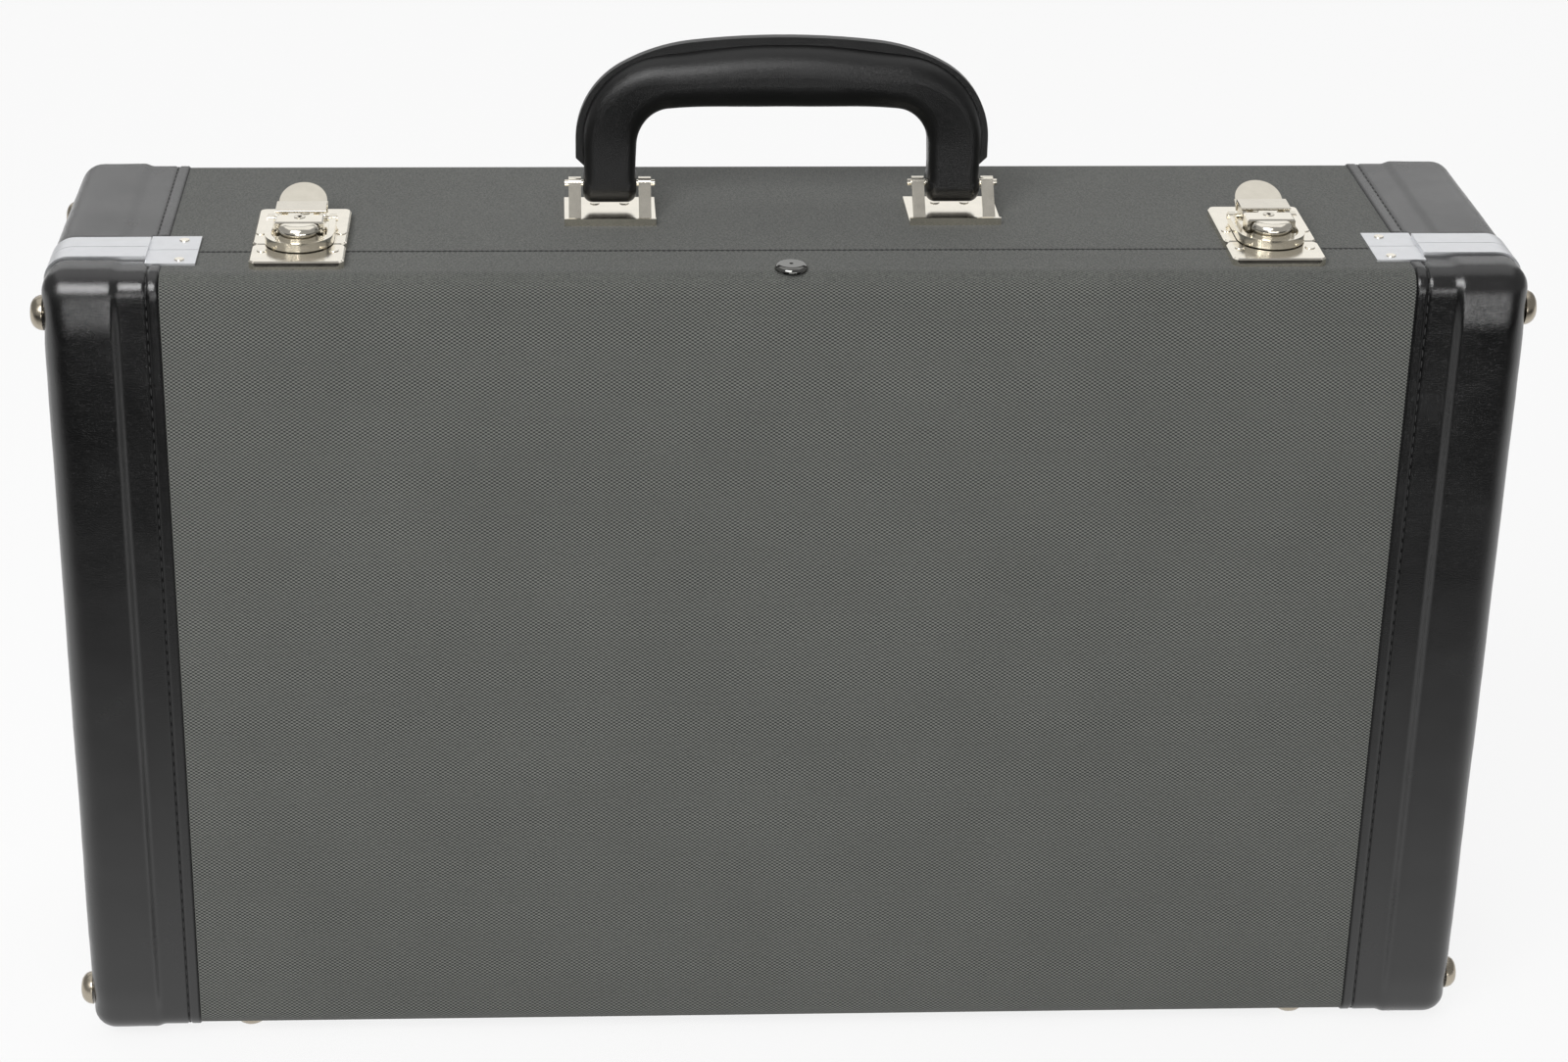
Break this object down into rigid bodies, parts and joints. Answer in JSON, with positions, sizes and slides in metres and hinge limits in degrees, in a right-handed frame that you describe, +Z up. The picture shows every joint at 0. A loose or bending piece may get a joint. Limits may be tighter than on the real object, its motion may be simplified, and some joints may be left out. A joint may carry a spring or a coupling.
{
  "type": "double trumpet case",
  "caption": "Upright hard case for two trumpets: fabric-covered shell, padded leather ends, metal seam strips, draw latches, hinged lid and folding handle.",
  "frame": {"origin": "on the ground under the middle of the case, which stands on its long side", "axes": "+X along the case to the right, +Y to the back (the deep base), so the lid faces -Y; +Z up"},
  "size_m": [0.59, 0.144, 0.4171],
  "materials": {
    "tweed": "woven, matt",
    "leather": "fine grain, satin",
    "shell": "plywood, bare",
    "plush": "short pile",
    "aluminium": "satin, drawn",
    "nickel": "nickel plate, polished",
    "steel": "zinc plate",
    "brass": "nickel-washed brass, polished",
    "grip": "moulded, leather grain"
  },
  "bodies": {
    "case": {"accessory_box_left": "plush", "accessory_box_right": "plush", "base_bumpers": "brass", "base_cap_left": "leather", "base_cap_right": "leather", "base_fabric": "tweed", "base_hinge_left": "steel", "base_hinge_right": "steel", "base_lining": "plush", "base_rivets": "aluminium", "base_shell": "shell", "base_stay_studs": "steel", "base_strip_left": "aluminium", "base_strip_right": "aluminium", "box_lid_pin": "steel", "handle_bracket_left": "nickel", "handle_bracket_right": "nickel", "handle_pins": "nickel", "hinge_pins": "steel", "latch_plate_left": "nickel", "latch_plate_right": "nickel", "lever_pins": "nickel", "lock_body_left": "nickel", "lock_body_right": "nickel", "mouthpiece_block_left": "plush", "mouthpiece_block_right": "plush", "neck_block_left": "plush", "neck_block_right": "plush", "tail_block_left": "plush", "tail_block_right": "plush", "valve_rest_left": "plush", "valve_rest_right": "plush"},
    "lid": {"centre_rivet": "nickel", "latch_catch_left": "nickel", "latch_catch_right": "nickel", "lid_bumpers": "brass", "lid_cap_left": "leather", "lid_cap_right": "leather", "lid_fabric": "tweed", "lid_hinge_left": "steel", "lid_hinge_right": "steel", "lid_lining": "plush", "lid_pads": "plush", "lid_rivets": "aluminium", "lid_shell": "shell", "lid_stay_pivots": "steel", "lid_strip_left": "aluminium", "lid_strip_right": "aluminium", "seam_blade": "steel"},
    "handle": {"handle": "grip"},
    "box_lid": {"box_lid": "plush"},
    "lever_left": {"latch_lever_left": "nickel"},
    "bail_left": {"latch_bail_left": "nickel"},
    "lock_left": {"lock_plug_left": "nickel"},
    "stay_left": {"stay_arm_left": "steel"},
    "lever_right": {"latch_lever_right": "nickel"},
    "bail_right": {"latch_bail_right": "nickel"},
    "lock_right": {"lock_plug_right": "nickel"},
    "stay_right": {"stay_arm_right": "steel"}
  },
  "joints": [
    {"name": "lid_hinge", "type": "hinge", "parent": "case", "child": "lid", "pos_m": [0, -0.04, 0.0034], "axis": [1, 0, 0], "range_deg": [0, 100]},
    {"name": "stay_left_pivot", "type": "hinge", "parent": "lid", "child": "stay_left", "pos_m": [-0.27965, -0.051, 0.06035], "axis": [1, 0, 0], "range_deg": [-50, 0]},
    {"name": "lever_left_pivot", "type": "hinge", "parent": "case", "child": "lever_left", "pos_m": [-0.1918, -0.0249, 0.353], "axis": [1, 0, 0], "range_deg": [0, 95]},
    {"name": "bail_left_pivot", "type": "hinge", "parent": "lever_left", "child": "bail_left", "pos_m": [-0.1918, -0.0181, 0.35], "axis": [1, 0, 0], "range_deg": [-123.5, 0]},
    {"name": "lock_left_turn", "type": "hinge", "parent": "case", "child": "lock_left", "pos_m": [-0.1918, -0.0314, 0.3555], "axis": [0, 0, 1], "range_deg": [0, 90]},
    {"name": "stay_right_pivot", "type": "hinge", "parent": "lid", "child": "stay_right", "pos_m": [0.27965, -0.051, 0.06035], "axis": [1, 0, 0], "range_deg": [-50, 0]},
    {"name": "lever_right_pivot", "type": "hinge", "parent": "case", "child": "lever_right", "pos_m": [0.1918, -0.0249, 0.353], "axis": [1, 0, 0], "range_deg": [0, 95]},
    {"name": "bail_right_pivot", "type": "hinge", "parent": "lever_right", "child": "bail_right", "pos_m": [0.1918, -0.0181, 0.35], "axis": [1, 0, 0], "range_deg": [-123.5, 0]},
    {"name": "lock_right_turn", "type": "hinge", "parent": "case", "child": "lock_right", "pos_m": [0.1918, -0.0314, 0.3555], "axis": [0, 0, 1], "range_deg": [0, 90]},
    {"name": "handle_fold", "type": "hinge", "parent": "case", "child": "handle", "pos_m": [0, 0.008, 0.3558], "axis": [1, 0, 0], "range_deg": [-86, 86]},
    {"name": "box_lid_hinge", "type": "hinge", "parent": "case", "child": "box_lid", "pos_m": [-0.17, -0.0193, 0.1465], "axis": [1, 0, 0], "range_deg": [0, 90]}
  ],
  "couplings": [
    {"joint": "stay_left_pivot", "follows": "lid_hinge", "ratio": -0.5},
    {"joint": "bail_left_pivot", "follows": "lever_left_pivot", "ratio": -1.3},
    {"joint": "stay_right_pivot", "follows": "lid_hinge", "ratio": -0.5},
    {"joint": "bail_right_pivot", "follows": "lever_right_pivot", "ratio": -1.3}
  ]
}
